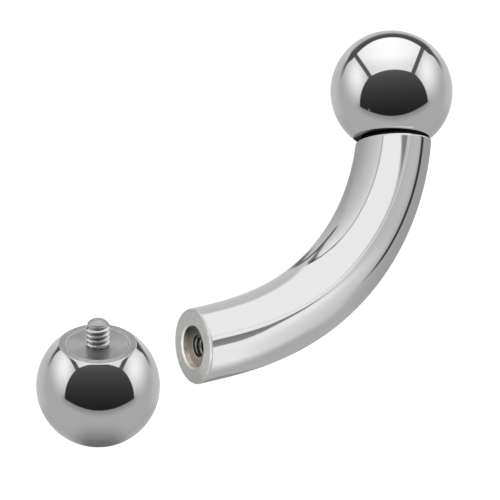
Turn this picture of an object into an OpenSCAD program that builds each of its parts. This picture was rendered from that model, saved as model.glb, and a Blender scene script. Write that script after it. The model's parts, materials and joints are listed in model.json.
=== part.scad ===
// A curved barbell, internally threaded, with one ball seated and one ball unscrewed.
// Millimetres, +Z up. The part lies on z = 0 as it would by itself: on the seated ball, on the
// bend of the bar, and on the loose ball. +X runs from the bar's free end to its other end.

/* [Bar] */
// Diameter of the bar
bar_d = 4.9; // [4:0.1:6]
// Radius of the bend, measured to the bar's middle line
bend_r = 17.25; // [14:0.25:22]
// Angle that the bend turns through, in degrees
bend_deg = 64; // [50:1:80]
// Straight length between the bend and the free end
straight_len = 3.9; // [2.5:0.1:6]
// Lean of both end faces past the bar's own direction, into the bend, in degrees
end_cant = 8.2; // [0:0.1:10]
// Rounding at the rim of both end faces
rim_r = 0.18; // [0.1:0.01:0.3]

/* [Hole in the free end] */
// Diameter of the counterbore
counterbore_d = 2.8; // [2.4:0.1:3.4]
// Depth of the counterbore
counterbore_depth = 0.45; // [0.2:0.05:0.8]
// Width of the bevel at the mouth of the counterbore
mouth_bevel = 0.06; // [0.02:0.01:0.15]
// Length of the thread in the bar
tapped_len = 4; // [2.5:0.1:6]
// Depth that the drill went past the thread
drill_past = 0.8; // [0.4:0.1:1.5]

/* [Thread] */
// Outer diameter of the thread on the post
thread_d = 1.6; // [1.4:0.1:2]
// Pitch of the thread
thread_pitch = 0.35; // [0.3:0.01:0.5]
// Room between the post's crests and the roots of the thread in the bar
thread_room = 0.02; // [0.01:0.01:0.05]

/* [Balls] */
// Diameter of both balls
ball_d = 8; // [6.5:0.1:10]
// Diameter of the flat that seats on the bar
flat_d = 5.1; // [4.6:0.1:5.8]
// Diameter of the recess in the flat
recess_d = 4.1; // [3:0.1:4.5]
// Depth of the recess in the flat
recess_depth = 0.06; // [0.03:0.01:0.15]

/* [Seated ball] */
// Length of the hidden plain post, measured from the flat
hidden_post_len = 4; // [2.5:0.1:6]
// Gap between the post and its bore, all round
post_room = 0.03; // [0.01:0.01:0.08]
// Gap between the flat and the bar's end face
seat_gap = 0.02; // [0.01:0.01:0.06]
// Room left at the bottom of the bore
bore_end_room = 0.3; // [0.1:0.1:1]

/* [Loose ball] */
// Length of the threaded post, measured from the flat to the edge of its tip
post_len = 1.69; // [1.2:0.01:4]
// Height of the dome on the post's tip
tip_dome = 0.14; // [0.05:0.01:0.25]
// Height of the plain neck below the thread, measured from the flat
neck_len = 0.05; // [0.02:0.01:0.3]
// Turn of the thread about its post, in degrees
thread_turn = 238; // [0:1:359]
// Distance of the loose ball's middle behind the middle of the free end, along X
loose_back = 7.7; // [6.5:0.1:15]
// Distance of the loose ball's middle to the side of the free end, along Y
loose_side = 2.6; // [0:0.1:10]
// Lean of the loose ball's post from upright, in degrees
loose_lean = 37; // [0:1:80]
// Direction in which that post leans, in degrees from +X towards +Y
loose_heading = 65; // [0:1:359]

/* [Hidden] */
$fn = 96;

bar_r = bar_d / 2;
ball_r = ball_d / 2;
counterbore_r = counterbore_d / 2;
crest_r = thread_d / 2;
// A tapped hole is drilled to the thread's diameter less its pitch
tap_core_r = (thread_d - thread_pitch) / 2;
tap_root_r = crest_r + thread_room;
// Depth of a 60 degree thread with rounded roots, as a share of its pitch
thread_depth = 0.6134 * thread_pitch;
root_r = crest_r - thread_depth;
flank_deg = 30;
drill_point_deg = 59;
// Distance from a ball's middle to its flat
flat_dist = sqrt(ball_r * ball_r - flat_d * flat_d / 4);
// Stock left past each end face, which the trim takes off, and how far the trim reaches past the wall
end_stock = 0.5;
trim_reach = 0.35;
// The line that follows the rim's rounding opens by this much more than the end face leans
rim_opening_deg = 7;
rim_stop_deg = end_cant + rim_opening_deg;

// The threaded post as a grid of rings: sides of a ring, rings in one pitch, and how the crests close
post_sides = 36;
rings_in_pitch = 9;
crest_power = 0.7;
thread_fade = 0.1;
tip_chamfer_len = 0.32;
tip_r = root_r + 0.02;
post_root = 0.3;
dome_steps = [0.93, 0.8, 0.6, 0.35];

// The bar's own frame: the bend's centre is the origin, and the bend's middle is at angle 0
start_deg = -bend_deg / 2;
stop_deg = bend_deg / 2;
function on_bend(angle) = bend_r * [sin(angle), -cos(angle)];
function along(angle) = [cos(angle), sin(angle)];
free_end = on_bend(start_deg) - straight_len * along(start_deg);
free_end_deg = start_deg - end_cant + 180;
seat_end = on_bend(stop_deg);
seat_end_deg = stop_deg + end_cant;
seated_middle = seat_end + (seat_gap + flat_dist) * along(seat_end_deg);

// The bar and its seated ball lie on the ball and on the one place of the bend that is below
// their shared centre of mass, so the line from the ball through that centre finds the place
bend_len = bend_r * bend_deg * PI / 180;
bend_mass = bar_r * bar_r * bend_len;
straight_mass = bar_r * bar_r * straight_len;
ball_mass = 4 / 3 * pow(ball_r, 3);
bend_centroid = [0, -bend_r * sin(stop_deg) / (stop_deg * PI / 180)];
straight_centroid = (free_end + on_bend(start_deg)) / 2;
mass_centre = (bend_mass * bend_centroid + straight_mass * straight_centroid + ball_mass * seated_middle)
    / (bend_mass + straight_mass + ball_mass);
line_along = (mass_centre - seated_middle) / norm(mass_centre - seated_middle);
centre_ahead = -seated_middle * line_along;
to_bend = centre_ahead + sqrt(max(0, pow(centre_ahead, 2) - pow(norm(seated_middle), 2) + bend_r * bend_r));
line_end = seated_middle + to_bend * line_along;
contact_deg = max(start_deg, min(stop_deg, atan2(line_end.x, -line_end.y)));
// The bend's plane leans about its tangent there until the ball touches the floor too
outward = [-sin(contact_deg), cos(contact_deg)];
ball_from_contact = outward * (seated_middle - on_bend(contact_deg));
plane_lean = asin((ball_r - bar_r) / ball_from_contact);

// From the bar's own frame to the floor, with +X from the free end to the other end
function spin(p, angle) = [p.x * cos(angle) - p.y * sin(angle), p.x * sin(angle) + p.y * cos(angle)];
end_line = spin(seat_end - free_end, -contact_deg);
turn_deg = atan2(end_line.y * cos(plane_lean), end_line.x);
function leaned(p) = let (q = spin(p, -contact_deg)) [q.x, q.y * cos(plane_lean), q.y * sin(plane_lean)];
lift = bar_r + bend_r * sin(plane_lean);
function floor_place(p) =
    let (q = leaned(p), r = spin([q.x, q.y], -turn_deg)) [r.x, r.y, q.z + lift];

free_end_place = floor_place(free_end);
seated_place = floor_place(seated_middle);
loose_place = [free_end_place.x - loose_back, free_end_place.y + loose_side, ball_r];
bend_place = floor_place([0, 0]);
// The bend's lowest Y: how far a circle of the bend's radius, in the leaned plane, reaches along Y
bend_reach_y = bend_r * sqrt(1 - pow(sin(plane_lean) * cos(turn_deg), 2));
low_x = min(loose_place.x, seated_place.x) - ball_r;
high_x = max(loose_place.x, seated_place.x) + ball_r;
low_y = min(bend_place.y - bend_reach_y - bar_r, loose_place.y - ball_r, seated_place.y - ball_r);
high_y = max(loose_place.y, seated_place.y) + ball_r;
box_middle = [(low_x + high_x) / 2, (low_y + high_y) / 2];

// Stands what is drawn in the bar's own frame on the floor, with the box's middle over the origin
module laid_on_floor() {
    translate([-box_middle.x, -box_middle.y, lift])
        rotate([0, 0, -turn_deg])
            rotate([plane_lean, 0, 0])
                rotate([0, 0, -contact_deg])
                    children();
}

// Turns +Z to a direction in the bend's plane, at a point of it
module facing(point, angle) {
    translate([point.x, point.y, 0])
        rotate([0, 0, angle])
            rotate([0, 90, 0])
                children();
}

// What is cut off past an end face: flat on the face, rounded at its rim, and open past the wall
module end_trim() {
    rim_middle = [bar_r - rim_r, -rim_r];
    stop_point = rim_middle + rim_r * along(rim_stop_deg);
    open_r = bar_r + trim_reach;
    open_z = stop_point.y - (open_r - stop_point.x) / tan(rim_stop_deg);
    rounding = [for (i = [0:8]) rim_middle + rim_r * along(90 + (rim_stop_deg - 90) * i / 8)];
    far_z = 3 * end_stock;
    rotate_extrude()
        polygon(concat([[0, far_z], [0, 0]], rounding, [[open_r, open_z], [open_r, far_z]]));
}

// The bent rod, with its two end faces trimmed. It is drawn with the join of its bend and its
// straight length on X = 0, so that the two share that face, and turned to its place as one.
module rod() {
    stock_deg = end_stock / bend_r * 180 / PI;
    difference() {
        rotate([0, 0, start_deg]) {
            rotate_extrude(start = -90, angle = bend_deg + stock_deg)
                translate([bend_r, 0])
                    circle(r = bar_r);
            translate([0, -bend_r, 0])
                rotate([0, -90, 0])
                    cylinder(h = straight_len + end_stock, r = bar_r);
        }
        facing(free_end, free_end_deg) end_trim();
        facing(seat_end, seat_end_deg) end_trim();
    }
}

// The hole in the free end as one turned outline: drill point, thread, countersink and counterbore
module tapped_hole() {
    floor_z = -counterbore_depth;
    thread_z = floor_z - tapped_len;
    drill_z = thread_z - drill_past;
    point_z = drill_z - tap_core_r / tan(drill_point_deg);
    sink_z = floor_z - (tap_root_r - tap_core_r);
    groove_half = (tap_root_r - tap_core_r) * tan(flank_deg);
    grooves = floor((sink_z - thread_z) / thread_pitch);
    thread_outline = [
        for (i = [0:grooves - 1])
            let (z = thread_z + (i + 0.5) * thread_pitch)
                each [[tap_core_r, z - groove_half], [tap_root_r, z], [tap_core_r, z + groove_half]]
    ];
    over = 1;
    rotate_extrude()
        polygon(concat(
            [[0, over], [0, point_z], [tap_core_r, drill_z]],
            thread_outline,
            [
                [tap_core_r, sink_z],
                [tap_root_r, floor_z],
                [counterbore_r, floor_z],
                [counterbore_r, -mouth_bevel],
                [counterbore_r + mouth_bevel, 0],
                [counterbore_r + mouth_bevel, over]
            ]
        ));
}

// A ball with its flat on z = 0, facing +Z, and the shallow recess in that flat
module flatted_ball() {
    difference() {
        translate([0, 0, -flat_dist])
            sphere(r = ball_r);
        cylinder(h = ball_r, r = ball_r);
        translate([0, 0, -recess_depth])
            cylinder(h = 1, r = recess_d / 2);
    }
}

// Height of the thread's crest above its root at a height and an angle, as a share from 0 to 1
function crest_share(z, angle) =
    pow(abs(sin(180 * (z / thread_pitch - (angle + thread_turn) / 360))), 2 * crest_power);
// The largest radius that the post reaches at a height: it opens above the neck and closes at the tip
function post_limit(z) =
    let (
        opening = max(0, min(1, (z - neck_len) / thread_fade)),
        closing = max(0, min(1, (post_len - z) / tip_chamfer_len))
    )
    min(root_r + thread_depth * opening, tip_r + (crest_r - tip_r) * closing);
function post_radius(z, angle) = root_r + (post_limit(z) - root_r) * crest_share(z, angle);

// The threaded post, standing on z = 0 and rooted in the ball
module threaded_post() {
    rings = ceil(post_len / thread_pitch * rings_in_pitch);
    side_deg = 360 / post_sides;
    points = concat(
        [for (j = [0:post_sides - 1]) [root_r * cos(j * side_deg), root_r * sin(j * side_deg), -post_root]],
        [
            for (i = [0:rings], j = [0:post_sides - 1])
                let (z = post_len * i / rings, r = post_radius(z, j * side_deg))
                    [r * cos(j * side_deg), r * sin(j * side_deg), z]
        ],
        [
            for (share = dome_steps, j = [0:post_sides - 1])
                let (r = tip_r * share, z = post_len + tip_dome * sqrt(1 - share * share))
                    [r * cos(j * side_deg), r * sin(j * side_deg), z]
        ],
        [[0, 0, post_len + tip_dome]]
    );
    last_ring = rings + 1 + len(dome_steps);
    top = len(points) - 1;
    faces = concat(
        [[for (j = [0:post_sides - 1]) j]],
        [
            for (i = [0:last_ring - 1], j = [0:post_sides - 1])
                let (a = i * post_sides + j, b = i * post_sides + (j + 1) % post_sides)
                    each [[a, a + post_sides, b], [b, a + post_sides, b + post_sides]]
        ],
        [
            for (j = [0:post_sides - 1])
                [last_ring * post_sides + j, top, last_ring * post_sides + (j + 1) % post_sides]
        ]
    );
    polyhedron(points = points, faces = faces);
}

module bar() {
    color("gainsboro")
        laid_on_floor()
            difference() {
                rod();
                facing(free_end, free_end_deg) tapped_hole();
                facing(seat_end, seat_end_deg)
                    translate([0, 0, -hidden_post_len - bore_end_room])
                        cylinder(h = hidden_post_len + bore_end_room + 1, r = crest_r + post_room);
            }
}

module seated_ball() {
    color("silver")
        laid_on_floor()
            facing(seat_end, seat_end_deg)
                translate([0, 0, seat_gap])
                    rotate([180, 0, 0]) {
                        flatted_ball();
                        translate([0, 0, -post_root])
                            cylinder(h = hidden_post_len + post_root, r = crest_r);
                    }
}

module loose_ball() {
    color("lightgray")
        translate([loose_place.x - box_middle.x, loose_place.y - box_middle.y, loose_place.z])
            rotate([0, 0, loose_heading])
                rotate([0, loose_lean, 0])
                    translate([0, 0, flat_dist]) {
                        flatted_ball();
                        threaded_post();
                    }
}

bar();
seated_ball();
loose_ball();
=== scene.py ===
import json
import math
from collections import namedtuple

import bmesh
import bpy
from mathutils import Matrix, Vector


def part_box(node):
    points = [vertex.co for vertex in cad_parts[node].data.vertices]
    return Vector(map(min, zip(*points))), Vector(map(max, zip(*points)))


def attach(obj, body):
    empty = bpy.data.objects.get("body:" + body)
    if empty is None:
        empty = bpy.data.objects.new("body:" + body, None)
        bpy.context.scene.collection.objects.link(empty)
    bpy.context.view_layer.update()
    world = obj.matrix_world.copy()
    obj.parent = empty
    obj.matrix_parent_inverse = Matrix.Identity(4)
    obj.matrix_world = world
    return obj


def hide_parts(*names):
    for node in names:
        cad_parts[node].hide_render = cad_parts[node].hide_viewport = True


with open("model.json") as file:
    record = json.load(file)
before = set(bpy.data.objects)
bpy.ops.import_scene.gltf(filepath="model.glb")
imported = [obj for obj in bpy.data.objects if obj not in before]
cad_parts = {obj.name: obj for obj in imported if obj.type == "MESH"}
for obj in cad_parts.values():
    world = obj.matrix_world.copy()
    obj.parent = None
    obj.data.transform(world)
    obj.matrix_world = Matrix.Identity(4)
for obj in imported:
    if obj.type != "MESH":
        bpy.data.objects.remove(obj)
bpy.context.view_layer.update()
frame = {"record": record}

bl_info = {
    "name": "Curved Barbell",
    "version": (1, 0, 0),
    "blender": (4, 5, 0),
    "location": "3D View > Sidebar > Barbell",
    "description": "Makes a polished curved barbell with one ball unscrewed, and a small photo studio",
    "category": "Add Mesh",
}

MM = 0.001
mounts = {mount["name"]: mount for mount in frame["record"]["mounts"]}


# Where the pieces are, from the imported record

class Place:
    """A point with three directions: where a piece's own origin and axes are in the room."""

    def __init__(self, point, x, y, z):
        self.point, self.x, self.y, self.z = point, x, y, z

    def at(self, x, y, z):
        return self.point + self.x * x + self.y * y + self.z * z

    def matrix(self):
        turn = Matrix((self.x, self.y, self.z)).transposed().to_4x4()
        return Matrix.Translation(self.point) @ turn


def bar_places(bar):
    """The free end's face, with +Z out of the bar, and the start of the bend, with +Z back to that
    face. Both have +X on the side of the bend's centre."""
    shank = mounts["shank"]
    along = Vector(shank["axis"]).normalized()
    face_axis = Vector(mounts["free_end_face"]["axis"]).normalized()
    inward = (face_axis - along * face_axis.dot(along)).normalized()
    across = along.cross(inward)
    face_point = Vector(shank["pos_m"]) + along * bar.straight_len / 2
    free_end = Place(face_point, across.cross(face_axis).normalized(), across, face_axis)
    bend_start = Place(face_point - along * bar.straight_len, inward, across, along)
    return free_end, bend_start


def bend_place(bar, start, angle):
    """The bend's section at an angle from its start: +X to the bend's centre, +Z on along the bar."""
    inward = start.x * math.cos(angle) + start.z * math.sin(angle)
    onward = start.x * math.sin(angle) - start.z * math.cos(angle)
    centre = start.point + start.x * bar.bend_r
    return Place(centre - inward * bar.bend_r, inward, start.y, onward)


def seat_place(bar, start):
    """The face that the seated ball sits on, before wear, with +Z out of the bar."""
    section = bend_place(bar, start, bar.bend_angle)
    face_axis = section.z * math.cos(bar.end_cant) + section.x * math.sin(bar.end_cant)
    face_x = section.x * math.cos(bar.end_cant) - section.z * math.sin(bar.end_cant)
    return Place(section.point, face_x, section.y, face_axis)


def flat_distance(ball):
    """How far a ball's flat is from the ball's middle."""
    return math.sqrt(ball.ball_d ** 2 - ball.flat_d ** 2) / 2


def leaned(place, ball, angle, about):
    """A flat's place after its ball has leaned about its own middle."""
    flat_dist = flat_distance(ball)
    turn = Matrix.Rotation(angle, 3, about)
    z = turn @ place.z
    return Place(place.at(0, 0, -flat_dist) + z * flat_dist, turn @ place.x, turn @ place.y, z)


def loose_ball_place(ball):
    """The middle of the loose ball's flat, with +Z along its post. The ball stays where its solid
    lies, and leans a little more, as the photo has it."""
    post = mounts["loose_ball_post"]
    post_point, axis = Vector(post["pos_m"]), Vector(post["axis"]).normalized()
    lowest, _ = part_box("loose_ball")
    middle_x = lowest[0] + ball.ball_d / 2
    middle = post_point + axis * ((middle_x - post_point.x) / axis.x)
    right, _, back = camera_axes()
    axis.rotate(Matrix.Rotation(ball.lean, 3, right))
    axis.rotate(Matrix.Rotation(ball.side_lean, 3, back))
    heading = math.atan2(axis.y, axis.x)
    side = Vector((-math.sin(heading), math.cos(heading), 0))
    return Place(middle + axis * flat_distance(ball), side.cross(axis), side, axis)


# Meshes built as rings of points

BAR_SIDES, BALL_SIDES = 224, 256
SHARP_ANGLE = math.radians(32)
POLISHED, SATIN, THREADED, BORED, ROUNDED, SEAM = range(6)


class Rings:
    """Rings of points gathered along a piece, each with the finish of the band before it."""

    def __init__(self):
        self.rings, self.zones = [], []

    def add(self, ring, zone):
        self.rings.append(ring)
        self.zones.append(zone)


def turned_ring(place, radius, height, sides):
    """A ring about a place's +Z. The radius is a number, or a function of the angle."""
    ring = []
    for k in range(sides):
        angle = 2 * math.pi * k / sides
        r = radius(angle) if callable(radius) else radius
        ring.append(place.at(r * math.cos(angle), r * math.sin(angle), height))
    return ring


def spread(start, stop, count):
    """count steps from start to stop, without start itself."""
    return [start + (stop - start) * (i + 1) / count for i in range(count)]


def skin(name, first_pole, made, last_pole, finishes, from_hole):
    """A closed mesh over rings of points, with a finish for each band between two rings. The rings
    start at the pole behind a ball, or in the depth of a hole, where the faces turn the other way."""
    sides = len(made.rings[0])
    points = [first_pole] + [point for ring in made.rings for point in ring] + [last_pole]
    last = len(points) - 1
    after = [(k + 1) % sides for k in range(sides)]
    faces = [(0, 1 + after[k], 1 + k) for k in range(sides)]
    for i in range(len(made.rings) - 1):
        low, high = 1 + i * sides, 1 + (i + 1) * sides
        faces += [(low + k, low + after[k], high + after[k], high + k) for k in range(sides)]
    faces += [(last, last - sides + k, last - sides + after[k]) for k in range(sides)]
    if from_hole:
        faces = [face[::-1] for face in faces]
    bands = made.zones + [made.zones[-1]]
    mesh = bpy.data.meshes.new(name)
    mesh.from_pydata(points, [], faces)
    mesh.update()
    for finish in finishes:
        mesh.materials.append(finish)
    mesh.polygons.foreach_set("material_index", [zone for zone in bands for _ in range(sides)])
    mesh.polygons.foreach_set("use_smooth", [True] * len(faces))
    mesh.set_sharp_from_angle(angle=SHARP_ANGLE)
    piece = bpy.data.objects.new(name, mesh)
    bpy.context.scene.collection.objects.link(piece)
    return piece


# The thread

THREAD_DEPTH = 0.6134  # of the pitch
CREST_POWER = 1.4  # above 1, the grooves are wider than the crests
GROOVE_SLOPE = 0.8 / math.tan(math.radians(30))  # of the V groove in the bar
NECK_EASE = 0.1 * MM  # length in which the post's thread rises from the neck
TIP_EASE = 0.13 * MM  # length in which the post narrows and its grooves run out
TIP_INSET = 0.13 * MM
TIP_POINT = 1.2  # above 1, the tip's dome is more pointed than an ellipse
TIP_MARK_HEIGHT, TIP_MARK_PITCH = 0.016 * MM, 0.16 * MM


def held(value):
    """The value, kept between 0 and 1."""
    return max(0, min(1, value))


def root_radius(thread):
    return thread.outer_d / 2 - THREAD_DEPTH * thread.pitch


def turns_past(thread, z, angle):
    """Turns of the thread between its start and a point at a height and an angle."""
    return z / thread.pitch - (angle + thread.turn) / (2 * math.pi)


def post_radius(thread, z):
    """The post's radius at a height above the flat, as a function of the angle."""
    outer_r, root_r = thread.outer_d / 2, root_radius(thread)
    tip_r = outer_r - TIP_INSET
    opening = held((z - thread.neck_len) / NECK_EASE)
    closing = held((thread.post_len - z) / TIP_EASE)
    crest_r = min(root_r + (outer_r - root_r) * opening, tip_r + (outer_r - tip_r) * closing)
    groove_r = root_r + (tip_r - root_r) * (1 - closing)

    def at(angle):
        rise = abs(math.sin(math.pi * turns_past(thread, z, angle))) ** CREST_POWER
        return groove_r + (crest_r - groove_r) * rise
    return at


def tapped_radius(thread, z, core_r, root_r, mouth_r, depth):
    """The tapped hole's radius at a depth, as a function of the angle: a helical V groove, and a small
    countersink at the mouth."""
    def at(angle):
        turns = turns_past(thread, z, angle)
        off_root = abs(turns - round(turns)) * thread.pitch
        groove_r = min(root_r - off_root * GROOVE_SLOPE, mouth_r + depth)
        return max(core_r, groove_r, mouth_r - depth)
    return at


# The bar

SUPPORT = 0.012 * MM  # distance of the ring that keeps an edge crisp
FLOOR_FILLET = 4 * SUPPORT  # round the counterbore's floor
DRILL_HALF_ANGLE = math.radians(59)
ROWS_PER_TURN = 11
STRAIGHT_STEPS, BEND_STEPS = 14, 110
FREE_RIM_STEPS, SEAT_RIM_STEPS, POLISHED_RIM_STEPS = 12, 14, 3


def face_point(place, bar, angle, share, inner_r, inset):
    """A point of a canted end face, between a circle round the hole and the edge less its rounding."""
    rim_x, rim_y = bar.bar_d / 2 / math.cos(bar.end_cant), bar.bar_d / 2
    out = Vector((rim_x * math.cos(angle), rim_y * math.sin(angle), 0))
    out -= out.normalized() * inset
    inside = Vector((inner_r * math.cos(angle), inner_r * math.sin(angle), 0))
    return place.at(*inside.lerp(out, share))


def rim_rings(points_in, corners, points_out, steps):
    """The rounding between a face and a wall, as a quarter bow over each corner."""
    weight = math.sqrt(0.5)
    made = []
    for t in spread(0, 1, steps):
        a, b, c = (1 - t) ** 2, 2 * weight * t * (1 - t), t * t
        total = a + b + c
        made.append([(p * a + k * b + q * c) / total for p, k, q in zip(points_in, corners, points_out)])
    return made


def bow(bar, s):
    """How far the bar stands out of its bend, at a distance from the free end: the bend begins softly."""
    before, after, curl = bar.soft_before, bar.soft_after, 1 / bar.soft_r
    start, stop = bar.straight_len - before, bar.straight_len + after
    ease = curl * before * (bar.straight_len - before / 2) / (after * (bar.straight_len + after / 2))
    lean = curl * before - ease * after
    if not 0 < s < stop:
        return 0
    past = max(0, s - bar.straight_len)
    return lean * s - curl / 2 * max(0, s - start) ** 2 + (curl + ease) / 2 * past ** 2


def hole_rings(bar, thread, free_end, made):
    """Adds the tapped hole and the counterbore, from the drill's point up to the face. Returns that
    point."""
    core_r = (thread.outer_d - thread.pitch) / 2
    root_r = thread.outer_d / 2 + thread.room
    mouth_r, bore_r, bevel = thread.mouth_d / 2, bar.counterbore_d / 2, bar.mouth_bevel
    floor_z = -bar.counterbore_depth
    thread_z = floor_z - bar.tapped_len
    drill_z = thread_z - bar.drill_past
    point_z = drill_z - core_r / math.tan(DRILL_HALF_ANGLE)

    def turned(radius, z, zone):
        made.add(turned_ring(free_end, radius, z, BAR_SIDES), zone)

    for share in (0.35, 0.7, 1):
        turned(core_r * share, point_z + (drill_z - point_z) * share, THREADED)
    turned(core_r, (drill_z + thread_z) / 2, THREADED)
    rows = ROWS_PER_TURN * round(bar.tapped_len / thread.pitch)
    for z in [thread_z] + spread(thread_z, floor_z, rows):
        turned(tapped_radius(thread, z, core_r, root_r, mouth_r, floor_z - z), z, THREADED)
    turned(mouth_r + SUPPORT, floor_z, BORED)
    turned(bore_r - FLOOR_FILLET, floor_z, BORED)
    for turn in spread(0, math.pi / 2, 4):
        z = floor_z + FLOOR_FILLET * (1 - math.cos(turn))
        turned(bore_r - FLOOR_FILLET * (1 - math.sin(turn)), z, BORED)
    turned(bore_r, -bevel - SUPPORT, BORED)
    turned(bore_r, -bevel, BORED)
    turned(bore_r + bevel, 0, SATIN)
    return free_end.at(0, 0, point_z)


def bar_rings(bar, thread):
    """The whole bar, from the depth of the tapped hole, over the free end's face and along the wall,
    to the seat's face and the bottom of the bore for the hidden post."""
    free_end, start = bar_places(bar)
    seat = seat_place(bar, start)
    seat.point = seat.at(0, 0, -bar.seat_back)
    angles = [2 * math.pi * k / BAR_SIDES for k in range(BAR_SIDES)]
    bar_r = bar.bar_d / 2
    made = Rings()
    first_pole = hole_rings(bar, thread, free_end, made)
    mouth_r = bar.counterbore_d / 2 + bar.mouth_bevel
    for share in (0.03, 0.25, 0.5, 0.75, 0.96, 1):
        made.add([face_point(free_end, bar, a, share, mouth_r, bar.rim_r) for a in angles], SATIN)

    # the rounded rim of the free end, then the straight wall
    lean = start.x.dot(free_end.z) / start.z.dot(free_end.z)

    def wall(heights):
        return [
            start.at(bar_r * math.cos(a) - bow(bar, bar.straight_len - s), bar_r * math.sin(a), s)
            for a, s in zip(angles, heights)
        ]

    edge = [bar.straight_len - bar_r * math.cos(a) * lean for a in angles]
    wall_top = [s - bar.rim_r for s in edge]
    for ring in rim_rings(made.rings[-1], wall(edge), wall(wall_top), FREE_RIM_STEPS):
        made.add(ring, ROUNDED)
    below_top = [s - 2 * SUPPORT for s in wall_top]
    made.add(wall(below_top), POLISHED)
    for share in spread(0, 1, STRAIGHT_STEPS):
        made.add(wall([s * (1 - share) for s in below_top]), POLISHED)

    # the bend, up to the rounded rim of the seat
    def swept(turns):
        ring = []
        for turn, a in zip(turns, angles):
            out = bow(bar, bar.straight_len + turn * bar.bend_r)
            section = bend_place(bar, start, turn)
            ring.append(section.at(bar_r * math.cos(a) - out, bar_r * math.sin(a), 0))
        return ring

    reach = bar.bend_r * math.sin(bar.end_cant) + bar.seat_back
    from_centre = [bar.bend_r - bar_r * math.cos(a) for a in angles]
    edge = [bar.bend_angle + bar.end_cant - math.asin(reach / r) for r in from_centre]
    wall_end = [turn - bar.seat_rim_r / r for turn, r in zip(edge, from_centre)]
    for share in spread(0, 1, BEND_STEPS):
        made.add(swept([(turn - 2 * SUPPORT / bar.bend_r) * share for turn in wall_end]), POLISHED)
    made.add(swept(wall_end), POLISHED)

    # the seat's rim and face, and the bore
    post_bore_r = thread.outer_d / 2 + bar.post_room

    def seat_ring(share):
        return [face_point(seat, bar, a, share, post_bore_r, bar.seat_rim_r) for a in angles]

    rim = rim_rings(made.rings[-1], swept(edge), seat_ring(1), SEAT_RIM_STEPS)
    for i, ring in enumerate(rim):
        made.add(ring, POLISHED if i < POLISHED_RIM_STEPS else SEAM)
    for share in (0.97, 0.6, 0.2, 0):
        made.add(seat_ring(share), SEAM)
    bore_len = bar.hidden_post_len + bar.bore_end_room
    for z in (-SUPPORT, -bore_len / 2, -bore_len + SUPPORT, -bore_len):
        made.add(turned_ring(seat, post_bore_r, z, BAR_SIDES), BORED)
    made.add(turned_ring(seat, post_bore_r / 2, -bore_len, BAR_SIDES), BORED)
    return first_pole, made, seat.at(0, 0, -bore_len)


# The balls

EDGE_SOFT = 0.015 * MM  # softness of the edge round a flat
RECESS_EASE = 0.02 * MM  # rounding of the recess's two edges
POST_BEVEL = 0.05 * MM  # at the end of the hidden post
ROOT_FILLET = 0.05 * MM  # where the threaded post meets the recess
BALL_STEPS, POST_STEPS, TIP_STEPS = 136, 110, 40


def ball_rings(ball, place):
    """A ball from its far pole to the edge of its recess, with its flat on the place's z = 0."""
    ball_r, flat_r, recess_r = ball.ball_d / 2, ball.flat_d / 2, ball.recess_d / 2
    flat_dist, depth = flat_distance(ball), ball.recess_depth
    made = Rings()

    def on_sphere(turn):
        return ball_r * math.sin(turn), -flat_dist - ball_r * math.cos(turn)

    def turned(radius, z, zone):
        made.add(turned_ring(place, radius, z, BALL_SIDES), zone)

    wall_stop = math.pi - math.asin(flat_r / ball_r) - EDGE_SOFT / ball_r
    for turn in spread(0, wall_stop, BALL_STEPS):
        turned(*on_sphere(turn), POLISHED)
    wall_r, wall_z = on_sphere(wall_stop)
    for t in spread(0, 1, 4):
        a, b, c = (1 - t) ** 2, 2 * t * (1 - t), t * t
        turned(wall_r * a + flat_r * b + (flat_r - EDGE_SOFT) * c, wall_z * a, POLISHED)
    for r, z in (
        (flat_r - 1.5 * EDGE_SOFT, 0),
        ((flat_r + recess_r) / 2, 0),
        (recess_r + 2 * RECESS_EASE, 0),
        (recess_r + RECESS_EASE, 0),
        (recess_r + 0.3 * RECESS_EASE, -0.3 * RECESS_EASE),
        (recess_r, -RECESS_EASE),
        (recess_r, -depth + RECESS_EASE),
        (recess_r - 0.3 * RECESS_EASE, -depth + 0.3 * RECESS_EASE),
        (recess_r - RECESS_EASE, -depth),
        (recess_r - 2 * RECESS_EASE, -depth),
    ):
        turned(r, z, SATIN)
    return place.at(0, 0, -flat_dist - ball_r), made


def seated_ball_rings(bar, ball, thread, place, post_place):
    """The seated ball on its own place, and its hidden post in the middle of the bore."""
    pole, made = ball_rings(ball, place)
    post_r = thread.outer_d / 2
    for r in spread(ball.recess_d / 2, post_r, 4):
        made.add(turned_ring(place, r, -ball.recess_depth, BALL_SIDES), SATIN)
    for z in [bar.seat_back] + spread(bar.seat_back, bar.hidden_post_len - POST_BEVEL, 6):
        made.add(turned_ring(post_place, post_r, z, BALL_SIDES), POLISHED)
    made.add(turned_ring(post_place, post_r - POST_BEVEL, bar.hidden_post_len, BALL_SIDES), POLISHED)
    return pole, made, post_place.at(0, 0, bar.hidden_post_len)


def loose_ball_rings(ball, place):
    """The loose ball, with a closed recess that its post stands in."""
    pole, made = ball_rings(ball, place)
    for r in spread(ball.recess_d / 2 - 2 * RECESS_EASE, 0.1 * MM, 8):
        made.add(turned_ring(place, r, -ball.recess_depth, BALL_SIDES), SATIN)
    return pole, made, place.at(0, 0, -ball.recess_depth)


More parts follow.
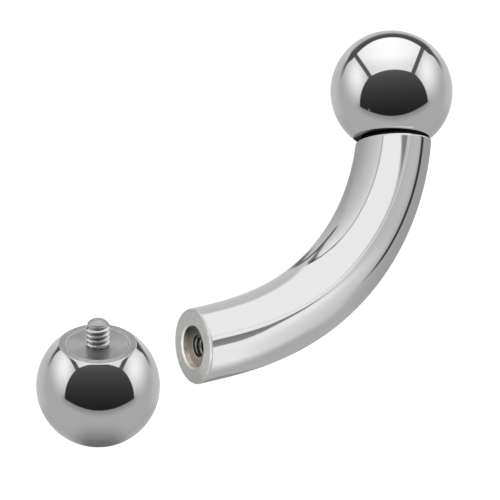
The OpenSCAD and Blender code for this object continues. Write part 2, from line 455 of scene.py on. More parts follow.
def post_rings(ball, thread, place):
    """The loose ball's threaded post, rooted a little below the recess, with a domed tip."""
    made = Rings()
    base_r = root_radius(thread) + ROOT_FILLET
    foot_z = -ball.recess_depth
    root_z = foot_z - 2 * ROOT_FILLET

    def turned(radius, z):
        made.add(turned_ring(place, radius, z, BALL_SIDES), THREADED)

    turned(base_r, root_z)
    turned(base_r, foot_z)
    for turn in spread(0, math.pi / 2, 4)[:-1]:
        turned(base_r - ROOT_FILLET * math.sin(turn), foot_z + ROOT_FILLET * (1 - math.cos(turn)))
    for z in [0] + spread(0, thread.post_len, POST_STEPS):
        turned(post_radius(thread, z), z)
    tip_r = thread.outer_d / 2 - TIP_INSET
    for turn in spread(0, math.pi / 2, TIP_STEPS)[:-1]:
        r = tip_r * math.cos(turn) ** TIP_POINT
        mark = TIP_MARK_HEIGHT * math.sin(2 * math.pi * r / TIP_MARK_PITCH) * math.cos(turn)
        turned(r, thread.post_len + ball.tip_dome * math.sin(turn) + mark)
    return place.at(0, 0, root_z), made, place.at(0, 0, thread.post_len + ball.tip_dome)


# Nodes

class Number:
    """A number carried by a node's output, with the usual sums, which each add a node."""

    def __init__(self, nodes, socket):
        self.nodes, self.socket = nodes, socket

    def __add__(self, other):
        return self.nodes.math("ADD", self, other)

    def __sub__(self, other):
        return self.nodes.math("SUBTRACT", self, other)

    def __rsub__(self, other):
        return self.nodes.math("SUBTRACT", other, self)

    def __mul__(self, other):
        return self.nodes.math("MULTIPLY", self, other)

    def __truediv__(self, other):
        return self.nodes.math("DIVIDE", self, other)

    __radd__, __rmul__ = __add__, __mul__


class Nodes:
    """Adds nodes to a tree and joins them."""

    def __init__(self, tree):
        self.tree = tree
        tree.nodes.clear()

    def add(self, kind, **settings):
        node = self.tree.nodes.new(kind)
        for key, value in settings.items():
            setattr(node, key, value)
        return node

    def put(self, value, socket):
        if isinstance(value, Number):
            value = value.socket
        if hasattr(value, "is_output"):
            self.tree.links.new(value, socket)
        else:
            socket.default_value = value

    def math(self, what, *values):
        node = self.add("ShaderNodeMath", operation=what)
        for value, socket in zip(values, node.inputs):
            self.put(value, socket)
        return Number(self, node.outputs[0])

    def vector(self, what, *values):
        node = self.add("ShaderNodeVectorMath", operation=what)
        for value, socket in zip(values, node.inputs):
            self.put(value, socket)
        if what in ("DOT_PRODUCT", "LENGTH"):
            return Number(self, node.outputs["Value"])
        return node.outputs["Vector"]

    def size(self, x, y):
        return self.math("SQRT", x * x + y * y)

    def step(self, value, low, high):
        """0 before low and 1 past high, with soft ends. low may be above high."""
        node = self.add("ShaderNodeMapRange", interpolation_type="SMOOTHSTEP")
        node.inputs["From Min"].default_value = min(low, high)
        node.inputs["From Max"].default_value = max(low, high)
        node.inputs["To Min"].default_value = 0 if low < high else 1
        node.inputs["To Max"].default_value = 1 if low < high else 0
        self.put(value, node.inputs["Value"])
        return Number(self, node.outputs[0])

    def near(self, value, middle, outer, inner):
        """1 within inner of the middle and 0 past outer, on both its sides."""
        return self.step(self.math("ABSOLUTE", value - middle), outer, inner)

    def mix(self, share, a, b):
        """a where share is 0 and b where it is 1."""
        node = self.add("ShaderNodeMix", data_type="FLOAT")
        for value, socket in zip((share, a, b), (node.inputs[0], node.inputs[2], node.inputs[3])):
            self.put(value, socket)
        return Number(self, node.outputs[0])

    def stroke(self, x, y, points, half_width, soft):
        """1 on a stroke through points of the chart, and 0 off it, with soft sides."""
        nearest = None
        for start, stop in zip(points, points[1:]):
            along = (stop[0] - start[0], stop[1] - start[1])
            square = along[0] ** 2 + along[1] ** 2
            share = ((x - start[0]) * along[0] + (y - start[1]) * along[1]) / square
            share = self.math("MINIMUM", self.math("MAXIMUM", share, 0), 1)
            off = self.size(x - start[0] - share * along[0], y - start[1] - share * along[1])
            nearest = off if nearest is None else self.math("MINIMUM", nearest, off)
        return self.step(nearest, half_width + soft, half_width - soft)

    def curve(self, value, points):
        """A number read off a smooth curve through (value, result) points, flat past its ends. No
        result may be below 0."""
        low, high = points[0][0], points[-1][0]
        most = max(result for _, result in points)
        node = self.add("ShaderNodeFloatCurve")
        line = node.mapping.curves[0]
        while len(line.points) < len(points):
            line.points.new(0.5, 0.5)
        for point, (at, result) in zip(line.points, points):
            point.location = ((at - low) / (high - low), result / most)
        node.mapping.use_clip = False
        node.mapping.update()
        self.put((value - low) / (high - low), node.inputs["Value"])
        return Number(self, node.outputs[0]) * most

    def cloud(self, where, scale, detail):
        """Soft noise, from 0 to 1."""
        node = self.add("ShaderNodeTexNoise")
        node.inputs["Scale"].default_value = scale
        node.inputs["Detail"].default_value = detail
        self.put(where, node.inputs["Vector"])
        return Number(self, node.outputs["Fac"])

    def relief(self, height):
        """A bump of a hundredth of a millimetre for a height of 1."""
        bump = self.add("ShaderNodeBump")
        bump.inputs["Distance"].default_value = 0.01 * MM
        self.put(height, bump.inputs["Height"])
        return bump.outputs[0]

    def own_axes(self, place):
        """The point in the piece's own axes, so that turned marks lie round its axis."""
        mapping = self.add("ShaderNodeMapping", vector_type="TEXTURE")
        mapping.inputs["Location"].default_value = place.point
        mapping.inputs["Rotation"].default_value = place.matrix().to_euler()
        self.put(self.add("ShaderNodeTexCoord").outputs["Object"], mapping.inputs["Vector"])
        return mapping.outputs[0]


def start_finish(name, kind="ShaderNodeOutputMaterial"):
    """A new finish, with the tool that adds its nodes and the input that its surface goes to."""
    finish = bpy.data.materials.new(name)
    finish.use_nodes = True
    n = Nodes(finish.node_tree)
    return finish, n, n.add(kind).inputs["Surface"]


# Finishes. Scales of noise are per metre.

MIRROR_ROUGHNESS = 0.035
POLISH_CLOUD, HAIRLINES, HAIRLINE_HEIGHT = 260, (9000, 9000, 900), 0.012
GRAIN, STAIN = 9000, 2600

# How a lathe left a surface: its roughness, the pitch of its rings in metres, and how high rings and
# grain stand, in hundredths of a millimetre.
Turning = namedtuple("Turning", "roughness ring_pitch ring_height grain_height")
FACE_TURNING = Turning(0.36, 0.06 * MM, 0.2, 0.8)
RIM_TURNING = Turning(0.33, 0.06 * MM, 0.2, 0.8)
SEAT_TURNING = Turning(0.5, 0.06 * MM, 0.2, 0.8)
TAP_TURNING = Turning(0.16, 0.04 * MM, 0.1, 0.3)
BORE_TURNING = Turning(0.26, 0.05 * MM, 0.1, 0.4)
FLAT_TURNING = Turning(0.17, 0.08 * MM, 0.15, 0.3)
POST_TURNING = Turning(0.2, 0.04 * MM, 0.1, 0.3)
# nearly black: painted shade of the seam under the seated ball
SEAT_SHADE_COLOUR = (0.02, 0.02, 0.02)
NO_GLINT = (0, 0, 0, 1)


def start_steel(name, colour):
    """A new finish of bare steel, with the tool that adds its nodes and its shader."""
    finish, n, surface = start_finish(name)
    steel = n.add("ShaderNodeBsdfPrincipled")
    steel.inputs["Base Color"].default_value = (*colour, 1)
    steel.inputs["Metallic"].default_value = 1
    n.put(steel.outputs[0], surface)
    return finish, n, steel


def polished_steel(name, place, colour):
    """Mirror-polished steel with the faint cloud and hairlines that a polishing wheel leaves."""
    finish, n, steel = start_steel(name, colour)
    where = n.own_axes(place)
    rough = n.cloud(where, POLISH_CLOUD, 3) * (MIRROR_ROUGHNESS * 0.5) + MIRROR_ROUGHNESS * 0.75
    n.put(rough, steel.inputs["Roughness"])
    stretch = n.add("ShaderNodeMapping")
    stretch.inputs["Scale"].default_value = HAIRLINES
    n.put(where, stretch.inputs["Vector"])
    n.put(n.relief(n.cloud(stretch.outputs[0], 1, 2) * HAIRLINE_HEIGHT), steel.inputs["Normal"])
    return finish


def turned_steel(name, place, colour, turning, painted_light=None, dulled=None):
    """Steel as a lathe leaves it: fine rings about the piece's own axis, and a little grain. The painted
    light and shade, if given, says how light it is at a place, from the distance to the axis and the place
    along each own axis. dulled gives how many times rougher it is at a distance from the axis."""
    finish, n, steel = start_steel(name, colour)
    where = n.own_axes(place)
    from_axis = n.vector("LENGTH", n.vector("MULTIPLY", where, (1, 1, 0)))
    grain = n.cloud(where, GRAIN, 4)
    ring = n.math("SINE", from_axis * (2 * math.pi / turning.ring_pitch))
    height = ring * turning.ring_height + grain * turning.grain_height
    n.put(n.relief(height), steel.inputs["Normal"])
    rough = grain * (turning.roughness * 0.3) + turning.roughness * 0.85
    n.put(rough * dulled(n, from_axis) if dulled else rough, steel.inputs["Roughness"])
    shade = n.cloud(where, STAIN, 3) * 0.4 + 0.8
    # painted light and shade, multiplied into the steel's colour
    if painted_light:
        parts = n.add("ShaderNodeSeparateXYZ")
        n.put(where, parts.inputs[0])
        shade = shade * painted_light(n, from_axis, *(Number(n, part) for part in parts.outputs))
    coloured = n.add("ShaderNodeVectorMath", operation="SCALE")
    coloured.inputs[0].default_value = colour
    n.put(shade, coloured.inputs["Scale"])
    n.put(coloured.outputs[0], steel.inputs["Base Color"])
    return finish


def shader_of(finish):
    return finish.node_tree.nodes["Principled BSDF"]


def seam_shade_steel(name, place):
    """The narrow seam under the seated ball, painted nearly black as its shade, with no glint at its
    edges.
    """
    finish = turned_steel(name, place, SEAT_SHADE_COLOUR, SEAT_TURNING)
    shader_of(finish).inputs["Specular Tint"].default_value = NO_GLINT
    return finish


def bar_finishes(place, bar, thread, colours):
    """The bar's finishes, in the order of POLISHED, SATIN, THREADED, BORED, ROUNDED and SEAM."""
    core_r = (thread.outer_d - thread.pitch) / 2
    bevel_r = bar.counterbore_d / 2 + bar.mouth_bevel / 2
    mouth_edge_r = thread.mouth_d / 2 + 0.04 * MM

    def face_painted_light(n, from_axis, x, y, z):
        """Painted shade away from the bend's centre but painted light in the low corner and a little on
        the low side, with a painted highlight on one side of the bevel.
        """
        bevel = n.near(from_axis, bevel_r, 0.07 * MM, 0.05 * MM) * n.step(y, 0, 0.8 * MM) * 0.35
        outside = n.step(x, 0.4 * MM, -2.2 * MM) * 0.2
        low = n.step(y, 0, -2.2 * MM) * 0.03
        corner = n.step(x, 0, -1.2 * MM) * n.step(y, 0.2 * MM, -1.2 * MM) * 0.3
        return 1.02 - outside + low + corner + bevel

    def thread_painted_shade(n, from_axis, x, y, z):
        """Painted shade in the tapped hole: dark grooves, and darker with depth, so that only the crests
        near the mouth stay bright.
        """
        crest = n.step(from_axis, core_r + 0.03 * MM, core_r + 0.01 * MM) * 0.3 + 0.03
        return crest * (n.step(z, -1.6 * MM, -0.6 * MM) * 0.9 + 0.1)

    def bore_painted_light(n, from_axis, x, y, z):
        """Painted shade towards the bend's centre and painted light on its far side, with a painted
        highlight on one side of the tapped hole's mouth.
        """
        edge = n.near(from_axis, mouth_edge_r, 0.05 * MM, 0.03 * MM) * n.step(y, -0.2 * MM, 0.4 * MM)
        lit = n.step(x, 1.3 * MM, -0.3 * MM) * 1.1 + 0.18 + n.step(y, 0.2 * MM, 1.3 * MM) * 0.15
        return lit * (edge * 0.8 + 1)

    return [
        polished_steel("bar_mirror", place, colours.mirror[:]),
        turned_steel("bar_face", place, colours.face[:], FACE_TURNING, face_painted_light),
        turned_steel("bar_thread", place, colours.thread[:], TAP_TURNING, thread_painted_shade),
        turned_steel("bar_bore", place, colours.bore[:], BORE_TURNING, bore_painted_light),
        turned_steel("bar_rounding", place, colours.face[:], RIM_TURNING, face_painted_light),
        seam_shade_steel("bar_seat_shade", place),
    ]


def flat_steel(name, place, ball, colours, painted_light):
    """A ball's flat: a bright turned recess, and a duller ring round it."""
    ring_r = ball.recess_d / 2 - 0.1 * MM

    def dulled(n, from_axis):
        return n.step(from_axis, ring_r, ring_r + 0.04 * MM) * 3.2 + 1

    return turned_steel(name, place, colours.flat[:], FLAT_TURNING, painted_light, dulled)


def seated_ball_finishes(place, ball, colours):
    """The seated ball's finishes, in the order of POLISHED and SATIN."""
    def painted_light(n, from_axis, x, y, z):
        """Painted shade, as the joint is dark, with painted light from outside at one end."""
        return n.step(x, 2.0 * MM, 2.3 * MM) * 1.5 + n.step(x, 0.9 * MM, 2.2 * MM) * 0.25 + 0.06

    flat = flat_steel("seated_ball_flat_shade", place, ball, colours, painted_light)
    # no glint at the flat's edge, which keeps its painted shade dark
    shader_of(flat).inputs["Specular Tint"].default_value = NO_GLINT
    return [polished_steel("seated_ball_mirror", place, colours.mirror[:]), flat]


def loose_ball_finishes(place, ball, thread, colours):
    """The loose ball's finishes, in the order of POLISHED, SATIN and THREADED."""
    recess_r, outer_r = ball.recess_d / 2, thread.outer_d / 2

    def flat_painted_light(n, from_axis, x, y, z):
        """A painted highlight on the edge round the recess, and the ring round it lighter, with painted
        light on its near side.
        """
        edge = n.near(from_axis, recess_r, 0.06 * MM, 0.03 * MM) * 0.8
        ring_and_near_side_light = n.step(y * 0.5 - x * 0.86, 1.1 * MM, 2.2 * MM) * 0.5 + 0.42
        return edge + n.step(from_axis, recess_r - 0.05 * MM, recess_r) * ring_and_near_side_light + 1

    def thread_painted_shade(n, from_axis, x, y, z):
        """Painted shade in the grooves, with the crests left bright."""
        return n.step(from_axis, outer_r - 0.17 * MM, outer_r - 0.03 * MM) * 0.4 + 0.6

    def tip_dulled(n, from_axis):
        return n.step(from_axis, 0.7 * MM, 0.6 * MM) * 1.2 + 1

    flat = flat_steel("loose_ball_flat", place, ball, colours, flat_painted_light)
    shader_of(flat).inputs["Metallic"].default_value = 0.6
    return [
        polished_steel("loose_ball_mirror", place, colours.mirror[:]),
        flat,
        turned_steel("loose_ball_thread", place, colours.thread[:], POST_TURNING, thread_painted_shade, tip_dulled),
    ]


# Sizes and colours

def length_prop(name, description, mm):
    return bpy.props.FloatProperty(name=name, description=description, default=mm * MM, unit="LENGTH")


def angle_prop(name, description, degrees):
    default = math.radians(degrees)
    return bpy.props.FloatProperty(name=name, description=description, default=default, subtype="ANGLE")


def colour_prop(name, description, default):
    return bpy.props.FloatVectorProperty(
        name=name, description=description, default=default, subtype="COLOR")


class BarSizes(bpy.types.PropertyGroup):
    bar_d: length_prop("Bar", "Diameter of the bar", 4.9)
    bend_r: length_prop("Bend radius", "Radius of the bend, to the bar's middle line", 17.25)
    bend_angle: angle_prop("Bend", "Angle that the bend turns through", 64)
    straight_len: length_prop("Straight", "Straight length at the free end", 3.9)
    end_cant: angle_prop("End lean", "Lean of both end faces into the bend", 8.2)
    soft_r: length_prop("Soft radius", "Radius by which the bend begins softly", 33.3)
    soft_before: length_prop("Soft before", "Length of the soft start before the bend", 2.2)
    soft_after: length_prop("Soft after", "Length in the bend that evens it out", 3)
    rim_r: length_prop("Free rim", "Rounding at the rim of the free end face", 0.2)
    seat_rim_r: length_prop("Seat rim", "Rounding at the rim under the seated ball", 0.36)
    counterbore_d: length_prop("Counterbore", "Diameter of the counterbore", 2.8)
    counterbore_depth: length_prop("Counterbore depth", "Depth of the counterbore", 0.45)
    mouth_bevel: length_prop("Mouth bevel", "Width of the bevel at the counterbore's mouth", 0.1)
    tapped_len: length_prop("Tapped length", "Length of the thread in the bar", 4)
    drill_past: length_prop("Drill past", "Depth of the drilled hole past the thread", 0.8)
    hidden_post_len: length_prop("Hidden post", "Length of the seated ball's post", 4)
    post_room: length_prop("Post room", "Gap round the hidden post", 0.03)
    bore_end_room: length_prop("Bore room", "Room at the bottom of the bore", 0.3)
    seat_gap: length_prop("Seat gap", "Gap between the ball's flat and the bar, before wear", 0.02)
    seat_back: length_prop("Seat back", "How far the bar's seat is worn back", 0.1)


class ThreadSizes(bpy.types.PropertyGroup):
    outer_d: length_prop("Thread", "Outer diameter", 1.6)
    pitch: length_prop("Pitch", "Pitch of the thread", 0.35)
    room: length_prop("Room", "Room between the crests and the bar's thread", 0.02)
    mouth_d: length_prop("Mouth", "Diameter of the tapped hole's mouth", 1.5)
    post_len: length_prop("Post", "Length of the loose ball's post, to its rounded tip", 1.47)
    neck_len: length_prop("Neck", "Plain neck below the thread", 0.05)
    turn: angle_prop("Turn", "Turn of the thread about its post", 238)


class BallSizes(bpy.types.PropertyGroup):
    ball_d: length_prop("Ball", "Diameter of both balls", 8)
    flat_d: length_prop("Flat", "Diameter of the flat", 5)
    lean: angle_prop("Lean", "Lean of the loose ball past its solid", -1.5)
    side_lean: angle_prop("Side lean", "Lean of the loose ball to the photo's left", 1.2)
    seated_lean: angle_prop("Seated lean", "Lean of the seated ball on the bar", -3.1)
    recess_d: length_prop("Recess", "Diameter of the recess in the flat", 4.1)
    recess_depth: length_prop("Recess depth", "Depth of the recess in the flat", 0.03)
    tip_dome: length_prop("Tip", "Height of the dome on the post's tip", 0.31)


class SteelColours(bpy.types.PropertyGroup):
    mirror: colour_prop("Mirror", "Colour of the polished steel", (0.62, 0.62, 0.625))
    face: colour_prop("Face", "Colour of the bar's end face", (0.60, 0.60, 0.57))
    flat: colour_prop("Flat", "Colour of the balls' flats", (0.31, 0.31, 0.31))
    thread: colour_prop("Thread", "Colour of the threads", (0.68, 0.68, 0.68))
    # The counterbore's warm tint is the steel's own; how dark it is stands partly for painted shade in the
    # hole.
    bore: colour_prop("Bore", "Colour of the warm, drill-tinted counterbore", (0.25, 0.21, 0.18))
    floor: colour_prop("Floor", "Colour of the floor", (0.8, 0.8, 0.8))


# The makers of the pieces

def make_piece(name, node, rings, steels, from_hole=False):
    first_pole, made, last_pole = rings
    piece = skin(name, first_pole, made, last_pole, steels, from_hole)
    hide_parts(node)
    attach(piece, "root")
    return piece


class MakeBar(bpy.types.Operator):
    """Makes the bent bar, with its tapped hole and counterbore"""

    bl_idname = "barbell.bar"
    bl_label = "Bar"

    def execute(self, context):
        scene = context.scene
        bar, thread = scene.bar_sizes, scene.thread_sizes
        free_end, _ = bar_places(bar)
        steels = bar_finishes(free_end, bar, thread, scene.steel_colours)
        piece = make_piece("polished_bar", "bar", bar_rings(bar, thread), steels, True)
        piece.visible_glossy = False
        return {"FINISHED"}


class MakeBalls(bpy.types.Operator):
    """Makes the seated ball and the loose ball, each with its post"""

    bl_idname = "barbell.balls"
    bl_label = "Balls"

    def execute(self, context):
        scene = context.scene
        bar, ball, thread = scene.bar_sizes, scene.ball_sizes, scene.thread_sizes
        _, start = bar_places(bar)
        seat = seat_place(bar, start)
        post = Place(seat.at(0, 0, bar.seat_gap), seat.x, seat.y, -seat.z)
        _, _, back = camera_axes()
        flat = leaned(post, ball, ball.seated_lean, back)
        rings = seated_ball_rings(bar, ball, thread, flat, post)
        steels = seated_ball_finishes(flat, ball, scene.steel_colours)
        seated = make_piece("polished_seated_ball", "seated_ball", rings, steels)
        flat = loose_ball_place(ball)
        rings = loose_ball_rings(ball, flat)
        steels = loose_ball_finishes(flat, ball, thread, scene.steel_colours)
        loose = make_piece("polished_loose_ball", "loose_ball", rings, steels)
        loose.visible_glossy = seated.visible_glossy = False
        make_piece("threaded_post", "loose_ball", post_rings(ball, thread, flat), steels)
        return {"FINISHED"}


# The studio

CAMERA_PLACE = Vector((-674.920, -40.539, 1112.355)) * MM
CAMERA_TARGET = Vector((1.460, 1.434, 0.856)) * MM
CAMERA_ROLL = math.radians(39.924)
CAMERA_CLIP = (0.1, 10)
LENS, SENSOR = 1440, 36
SKY = 0.6
FLOOR_GLOW = 0.75
FLOOR_HALF = 1.5


def camera_axes():
    """Right, up and back of the photo's camera: the tents stand round the part in these."""
    back = (CAMERA_PLACE - CAMERA_TARGET).normalized()
    level = Vector((0, 0, 1)).cross(back).normalized()
    upright = back.cross(level)
    right = level * math.cos(CAMERA_ROLL) + upright * math.sin(CAMERA_ROLL)
    return right, back.cross(right), back


def glowing(n, under, surface):
    """Adds a white glow to the shader under it, and returns the input for its strength."""
    glow, both = n.add("ShaderNodeEmission"), n.add("ShaderNodeAddShader")
    glow.inputs["Color"].default_value = (1, 1, 1, 1)
    n.put(glow.outputs[0], both.inputs[0])
    n.put(under.outputs[0], both.inputs[1])
    n.put(both.outputs[0], surface)
    return glow.inputs["Strength"]


def make_stage_object(name, mesh, finish):
    mesh.materials.append(finish)
    thing = bpy.data.objects.new(name, mesh)
    bpy.context.scene.collection.objects.link(thing)
    return thing


def make_floor(colours):
    """A pale table top, lit from above and a little from below, so that shadows stay soft."""
    finish, n, surface = start_finish("pale_floor")
    paper = n.add("ShaderNodeBsdfDiffuse")
    paper.inputs["Color"].default_value = (*colours.floor, 1)
    n.put(FLOOR_GLOW, glowing(n, paper, surface))
    corners = [(FLOOR_HALF * x, FLOOR_HALF * y, 0) for x, y in ((-1, -1), (1, -1), (1, 1), (-1, 1))]
    mesh = bpy.data.meshes.new("floor")
    mesh.from_pydata(corners, [], [(0, 1, 2, 3)])
    make_stage_object("floor", mesh, finish).visible_glossy = False


def make_sky():
    """Even light from all round for the floor. The steel mirrors the tents instead."""
    world = bpy.data.worlds.new("soft_sky")
    bpy.context.scene.world = world
    world.use_nodes = True
    n = Nodes(world.node_tree)
    out = n.add("ShaderNodeOutputWorld")
    light = n.add("ShaderNodeBackground")
    light.inputs["Color"].default_value = (1, 1, 1, 1)
    seen = Number(n, n.add("ShaderNodeLightPath").outputs["Is Camera Ray"])
    n.put(seen * (1 - SKY) + SKY, light.inputs["Strength"])
    n.put(light.outputs[0], out.inputs["Surface"])
    world.cycles_visibility.glossy = False


def make_tent(name, radius, tone_of, lit_pieces):
    """A glowing tent round the part, which only some pieces mirror. tone_of gives its brightness by
    direction: u to the photo's right and v up, on an equal-area chart whose middle is the way to
    the camera and whose rim, at 1, is straight behind."""
    finish, n, surface = start_finish(name)
    toward = n.vector("NORMALIZE", n.add("ShaderNodeTexCoord").outputs["Object"])
    x, y, z = (n.vector("DOT_PRODUCT", toward, axis[:]) for axis in camera_axes())
    scale = n.math("SQRT", n.math("MAXIMUM", z * 2 + 2, 0.0001))
    n.put(tone_of(n, x / scale, y / scale), glowing(n, n.add("ShaderNodeBsdfTransparent"), surface))
    finish.cycles.emission_sampling = "NONE"
    mesh = bpy.data.meshes.new(name)
    shell = bmesh.new()
    bmesh.ops.create_icosphere(shell, subdivisions=3, radius=radius)
    shell.to_mesh(mesh)
    shell.free()
    tent = make_stage_object(name, mesh, finish)
    tent.visible_camera = tent.visible_diffuse = tent.visible_shadow = tent.visible_transmission = False
    lit = bpy.data.collections.new(name + "_lights")
    for piece in lit_pieces:
        lit.objects.link(bpy.data.objects[piece])
    tent.light_linking.receiver_collection = lit


# The balls' tent. A tone is the light of a patch of tent, and the polished steel gives back 0.62 of
# it. All places are on the chart, so a step of 0.01 is about half a pixel of a ball.

BALL_SHIFT = 0.024
BALL_WALL, BALL_SEAM, BALL_ARC, BALL_OPENING = 0.62, 0.15, 0.11, 0.06
TOP_BOX, SIDE_BOX = 1.58, 0.8
SEAM_FOOT = (0.357, 0.268)
SEATED_BALL_TURN = math.radians(4)
STREAK, STREAK_TONE = ((-0.24, -0.571), (0.0, -0.575), (0.35, -0.585)), 1.05


def ball_tent(n, u, v, lean):
    """Softboxes above and at both sides of a dark opening in front, with dark seams between them."""
    x = u * math.cos(lean) + v * math.sin(lean) - BALL_SHIFT
    y = v * math.cos(lean) - u * math.sin(lean)
    wide = n.math("ABSOLUTE", x)

    # the tent's wall, lighter behind, and darker low down behind
    behind = n.step(n.size(u, v), 0.83, 0.92)
    tone = behind * (n.step(y, -0.5, -0.15) * 0.15 - 0.05) + BALL_WALL
    low = n.step(y, -0.55, -1.05) * n.step(wide, 0.6, 0.15)
    tone = tone * (1 - low * 0.72)
    # side softboxes: a bright middle that fades outward and down
    side = n.size((wide - 0.57) / 0.2, (y - 0.3) / 0.42)
    tone = tone + n.step(side, 1.35, 0) * SIDE_BOX
    # the top softbox, between two seams that open upward, and under an arc
    foot_x, foot_y = SEAM_FOOT
    seam_x = (y - foot_y) * 0.565 + foot_x - n.step(x, -0.01, 0.01) * ((y - foot_y) * 0.09 + 0.014)
    arc = n.size(x, y - 0.05)
    from_foot = n.step(y, 0.2, 0.24)
    top = n.step(wide - seam_x, 0.01, -0.01) * n.step(arc, 0.86, 0.84) * from_foot
    top_tone = TOP_BOX - wide * wide * 1.2 - n.step(y, 0.62, 0.36) * 0.32
    tone = n.mix(top, tone, top_tone)
    seam = n.near(wide, seam_x, 0.045, 0.03) * from_foot * n.step(arc, 0.9, 0.88)
    tone = n.mix(seam, tone, BALL_SEAM)
    # the arc itself, which thins towards its two ends
    thinned = n.step(wide, 0.6, 0.72)
    inner = arc + n.step(wide, 0.15, 0.6) * 0.02 + 0.022 - thinned * 0.032
    outer = arc + thinned * 0.02
    line = n.step(inner, 0.842, 0.858) * n.step(outer, 0.92, 0.875) * n.step(y, 0.2, 0.52)
    tone = n.mix(line, tone, BALL_ARC)
    # the dark opening, narrower at its top, with a bowed edge above and below and a soft lower lip
    side_x = n.math("SQRT", n.math("MAXIMUM", 1 - (y + 0.2) * (y + 0.2) / 0.372, 0)) * 0.557
    above_foot = y - (x * x * 0.616 - 0.405)
    below_top = (0.353 - x * x * 0.667) - y
    lip = n.step(above_foot, -0.13, 0) * n.step(above_foot, 0.1, 0) * n.step(wide - side_x, 0.1, -0.05)
    tone = tone * (1 - lip * 0.35)
    opening = n.step(wide - side_x, 0.009, -0.009) * n.step(below_top, -0.008, 0.008)
    opening = opening * n.step(above_foot, -0.01, 0.01)
    return n.mix(opening, tone, n.math("EXPONENT", y * 2.5) * BALL_OPENING)


def seated_ball_tent(n, u, v):
    """The balls' tent as it stood for the seated ball: turned a little, with a light streak low down."""
    streak = n.stroke(u, v, STREAK, 0.009, 0.012)
    streak = streak * (n.step(u, -0.3, -0.15) * 0.25 + n.step(u, -0.05, 0.2) * 0.75)
    return n.mix(streak, ball_tent(n, u, v, SEATED_BALL_TURN), STREAK_TONE)


def loose_ball_tent(n, u, v):
    return ball_tent(n, u, v, 0)


# The bar's tent. Curves are (place, tone) points, and strokes are (u, v) points of the chart.

RIGHT_TONES = ((0.5, 1.3), (0.53, 1.26), (0.56, 1.11), (0.6, 1.0), (0.68, 0.86), (0.74, 0.64), (1, 0.5))
NEAR_JOINT_TONES = ((0.35, 0.7), (0.45, 0.72), (0.7, 0.74), (0.8, 0.55), (1, 0.55))
LEFT_TONES = ((-1, 0.42), (-0.86, 0.5), (-0.69, 0.62), (-0.53, 0.77), (-0.37, 0.88), (-0.2, 1.08))
LEFT_BAND = ((-0.52, 0.67), (-0.72, 0.58), (-0.9, 0.36))
LEFT_SEAMS = (  # points, half width, tone
    (((-0.15, 0.66), (-0.175, 0.735), (-0.21, 0.775), (-0.29, 0.786)), 0.018, 0.15),
    (((-0.29, 0.786), (-0.34, 0.772), (-0.41, 0.762)), 0.016, 0.28),
    (((-0.465, 0.705), (-0.42, 0.77), (-0.395, 0.82)), 0.024, 0.15),
    (((-0.395, 0.835), (-0.45, 0.842), (-0.5, 0.826), (-0.57, 0.785)), 0.018, 0.2),
)
BOX_SEAM = ((-0.27, 0.3), (-0.25, 0.38), (-0.21, 0.45), (-0.16, 0.57), (-0.15, 0.66))
BOX_SEAM_END = (0.78, 0.29)
BOX_FOOT = ((-1, 0.05), (-0.3, 0.25), (0.28, 0.3), (0.35, 0.289), (0.4, 0.28), (0.5, 0.28))
WEDGE_FOOT = ((0.495, 0.006), (0.505, 0.02), (0.521, 0.077), (0.535, 0.155), (0.55, 0.255))
WEDGE_TOP = ((0.495, 0.157), (0.525, 0.157), (0.532, 0.185), (0.55, 0.215))
BOX, BOX_TOP, BOX_SEAM_TONE, BOX_CORNER = 1.3, 0.78, 0.55, 0.3
BELOW_BOX, FRONT, LOW_RIGHT, RIGHT_LINE = 0.33, 0.66, 0.62, 0.05
LANE, WEDGE = 1.29, 0.27


def right_of_box(n, u, v):
    """Light close to the softbox, then greyer to the right and low down, with one dark line."""
    tone = n.curve(u, RIGHT_TONES)
    near_joint = n.math("MINIMUM", tone, n.curve(u, NEAR_JOINT_TONES))
    tone = n.mix(n.step(u * 0.8 + v, 0.53, 0.61), tone, near_joint)
    fall = v + 0.37 + n.math("MAXIMUM", 0.645 - u, 0) * 1.5
    tone = n.mix(n.step(fall, 0.1, -0.1), tone, n.math("MINIMUM", tone, LOW_RIGHT))
    tone = tone * (1 - n.step(n.size(u, v), 0.9, 1.02) * 0.16)
    line_u = 0.791 - (v - 0.03) * (v - 0.03) * 1.6
    return n.mix(n.near(u, line_u, 0.04, 0.012) * n.step(v, -0.17, -0.11), tone, RIGHT_LINE)


def left_of_box(n, u, v):
    """Light next to the softbox's seam, greyer outward, with a soft dark band and short dark seams."""
    tone = n.curve(u, LEFT_TONES)
    tone = tone + n.step(v, 0.55, 0.72) * n.step(u, -0.42, -0.26) * 0.12
    tone = tone * (1 - n.stroke(u, v, LEFT_BAND, 0, 0.08) * 0.24)
    tone = n.mix(n.step(v, 0.78, 0.84), tone, BOX_TOP)
    for points, half_width, seam_tone in LEFT_SEAMS:
        tone = n.mix(n.stroke(u, v, points, half_width, 0.012), tone, seam_tone)
    return tone


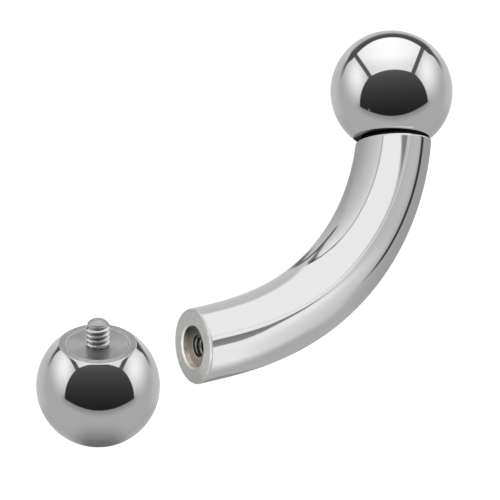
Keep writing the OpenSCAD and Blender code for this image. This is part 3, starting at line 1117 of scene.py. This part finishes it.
def bar_tent(n, u, v):
    """One wide softbox above, grey walls at both sides and a few dark seams."""
    # below the softbox: a lit front, a dark band, and the wall at the right
    tone = n.mix(n.step(u, 0.36, 0.41), BELOW_BOX, right_of_box(n, u, v))
    front = n.step(n.size(u + 0.2, v), 0.6, 0.25) * 0.55 + FRONT
    tone = n.mix(n.step(u, 0.15, 0.25), front, tone)
    # a light lane below the softbox's corner, and in it a dark wedge that thins to the right
    across = u + v * 0.32
    off_corner = n.math("ABSOLUTE", v - 0.25)
    lane = n.math("ABSOLUTE", across - 0.522) - n.math("MINIMUM", off_corner * 0.5, 0.02)
    lane = n.step(lane, 0.008, -0.002) * n.step(v, 0.31, 0.29) * n.step(v, 0.09, 0.13)
    tone = n.mix(lane, tone, LANE - n.step(off_corner, 0.015, 0.005) * 0.14)
    low = n.curve(across, WEDGE_FOOT) - 0.035
    high = n.curve(across, WEDGE_TOP)
    wedge = n.step(v - low, -0.012, 0.012) * n.step(v - high, 0.012, -0.012)
    wedge = wedge * n.step(across, 0.548, 0.538) * n.step(across, 0.45, 0.47)
    tone = n.mix(wedge, tone, (high - v) * 0.8 + WEDGE)
    # the softbox: darker behind its top edge and at its right corner, and cut off at its left seam,
    # whose curve is shifted by 0.5 to keep it above 0
    box = n.mix(n.step(v, 0.79, 0.84), BOX, BOX_TOP)
    box = n.mix(n.step(u, 0.38, 0.5) * n.step(v, 0.36, 0.44), box, BOX_CORNER)
    edge_u = n.curve(v, tuple((y, x + 0.5) for x, y in BOX_SEAM) + (BOX_SEAM_END,)) - 0.5
    box = n.mix(n.step(u - edge_u, 0.006, -0.006), box, left_of_box(n, u, v))
    tone = n.mix(n.step(v - n.curve(u, BOX_FOOT), -0.008, 0.008), tone, box)
    return n.mix(n.stroke(u, v, BOX_SEAM, 0.014, 0.016), tone, BOX_SEAM_TONE)


class MakeStage(bpy.types.Operator):
    """Sets the pale floor, the light tents and the camera at the photo's angle"""

    bl_idname = "barbell.stage"
    bl_label = "Stage"

    def execute(self, context):
        scene = context.scene
        make_floor(scene.steel_colours)
        make_sky()
        make_tent("seated_ball_tent", 3, seated_ball_tent, ["polished_seated_ball"])
        make_tent("loose_ball_tent", 3.1, loose_ball_tent, ["polished_loose_ball", "threaded_post"])
        make_tent("bar_tent", 3.2, bar_tent, ["polished_bar"])
        right, up, back = camera_axes()
        lens = bpy.data.cameras.new("camera")
        lens.lens, lens.sensor_width = LENS, SENSOR
        lens.clip_start, lens.clip_end = CAMERA_CLIP
        camera = bpy.data.objects.new("camera", lens)
        camera.matrix_world = Place(CAMERA_PLACE, right, up, back).matrix()
        scene.collection.objects.link(camera)
        scene.camera = camera
        scene.view_settings.view_transform = "Standard"
        return {"FINISHED"}


class BarbellPanel(bpy.types.Panel):
    """Lists what can be made"""

    bl_idname = "VIEW3D_PT_barbell"
    bl_label = "Curved barbell"
    bl_space_type = "VIEW_3D"
    bl_region_type = "UI"
    bl_category = "Barbell"

    def draw(self, context):
        for maker in MAKERS:
            self.layout.operator(maker.bl_idname)
        for group in GROUPS:
            sizes = getattr(context.scene, group)
            box = self.layout.box()
            for prop in sizes.bl_rna.properties:
                if prop.identifier not in ("name", "rna_type"):
                    box.prop(sizes, prop.identifier)


MAKERS = (MakeBar, MakeBalls, MakeStage)
GROUPS = {
    "bar_sizes": BarSizes,
    "thread_sizes": ThreadSizes,
    "ball_sizes": BallSizes,
    "steel_colours": SteelColours,
}


def register():
    for kind in (*GROUPS.values(), *MAKERS, BarbellPanel):
        bpy.utils.register_class(kind)
    for name, kind in GROUPS.items():
        setattr(bpy.types.Scene, name, bpy.props.PointerProperty(type=kind))


def unregister():
    for name in GROUPS:
        delattr(bpy.types.Scene, name)
    for kind in reversed((*GROUPS.values(), *MAKERS, BarbellPanel)):
        bpy.utils.unregister_class(kind)


def main():
    register()
    bpy.ops.barbell.bar()
    bpy.ops.barbell.balls()
    bpy.ops.barbell.stage()


if __name__ == "__main__":
    main()
